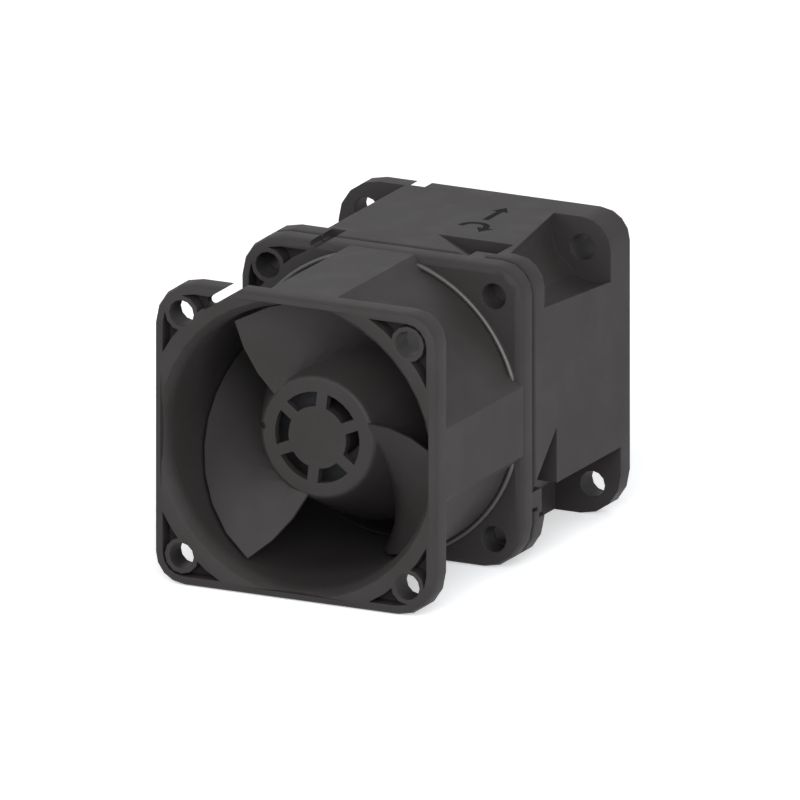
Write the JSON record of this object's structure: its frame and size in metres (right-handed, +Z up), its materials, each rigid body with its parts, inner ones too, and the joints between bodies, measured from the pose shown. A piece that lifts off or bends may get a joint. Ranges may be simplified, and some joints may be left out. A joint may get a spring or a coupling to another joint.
{
  "type": "axial cooling fan",
  "caption": "Small square counter-rotating axial fan: two fan units latched back to back, with twisted blades on conical hubs inside a square flanged casing.",
  "frame": {"origin": "middle of the casing's underside, on the plane z = 0", "axes": "+Y along the fan's axis towards the air outlet, +Z up, +X to the right seen from the inlet"},
  "size_m": [0.04, 0.056, 0.04],
  "materials": {
    "casing_plastic": "moulded, matte",
    "impeller_plastic": "moulded, satin",
    "brass": "turned",
    "drawn_steel": "drawn, plated",
    "ferrite": "sintered ferrite",
    "ground_steel": "ground",
    "clip_steel": "blackened",
    "spring_steel": "drawn wire",
    "bearing_steel": "ground",
    "lamination_steel": "stamped sheets",
    "insulator_nylon": "natural nylon",
    "enamelled_copper": "enamelled wire",
    "circuit_board_laminate": "solder resist",
    "chip_resin": "moulded resin"
  },
  "bodies": {
    "casing": {"inlet_casing": "casing_plastic", "inlet_bearing_sleeve": "brass", "inlet_bearing_front": "bearing_steel", "inlet_bearing_rear": "bearing_steel", "inlet_stator_core": "lamination_steel", "inlet_insulator_front": "insulator_nylon", "inlet_insulator_rear": "insulator_nylon", "inlet_coil_1": "enamelled_copper", "inlet_coil_2": "enamelled_copper", "inlet_coil_3": "enamelled_copper", "inlet_coil_4": "enamelled_copper", "inlet_circuit_board": "circuit_board_laminate", "inlet_driver_chip": "chip_resin", "inlet_rotation_sensor": "chip_resin", "outlet_casing": "casing_plastic", "outlet_bearing_sleeve": "brass", "outlet_bearing_front": "bearing_steel", "outlet_bearing_rear": "bearing_steel", "outlet_stator_core": "lamination_steel", "outlet_insulator_front": "insulator_nylon", "outlet_insulator_rear": "insulator_nylon", "outlet_coil_1": "enamelled_copper", "outlet_coil_2": "enamelled_copper", "outlet_coil_3": "enamelled_copper", "outlet_coil_4": "enamelled_copper", "outlet_circuit_board": "circuit_board_laminate", "outlet_driver_chip": "chip_resin", "outlet_rotation_sensor": "chip_resin"},
    "inlet_rotor": {"inlet_impeller": "impeller_plastic", "inlet_hub_bush": "brass", "inlet_rotor_yoke": "drawn_steel", "inlet_magnet": "ferrite", "inlet_shaft": "ground_steel", "inlet_shaft_clip": "clip_steel", "inlet_preload_spring": "spring_steel"},
    "outlet_rotor": {"outlet_impeller": "impeller_plastic", "outlet_hub_bush": "brass", "outlet_rotor_yoke": "drawn_steel", "outlet_magnet": "ferrite", "outlet_shaft": "ground_steel", "outlet_shaft_clip": "clip_steel", "outlet_preload_spring": "spring_steel"}
  },
  "joints": [
    {"name": "inlet_spin", "type": "hinge", "parent": "casing", "child": "inlet_rotor", "pos_m": [0, -0.02, 0.02], "axis": [0, -1, 0], "continuous": true},
    {"name": "outlet_spin", "type": "hinge", "parent": "casing", "child": "outlet_rotor", "pos_m": [0, 0.02, 0.02], "axis": [0, 1, 0], "continuous": true}
  ]
}
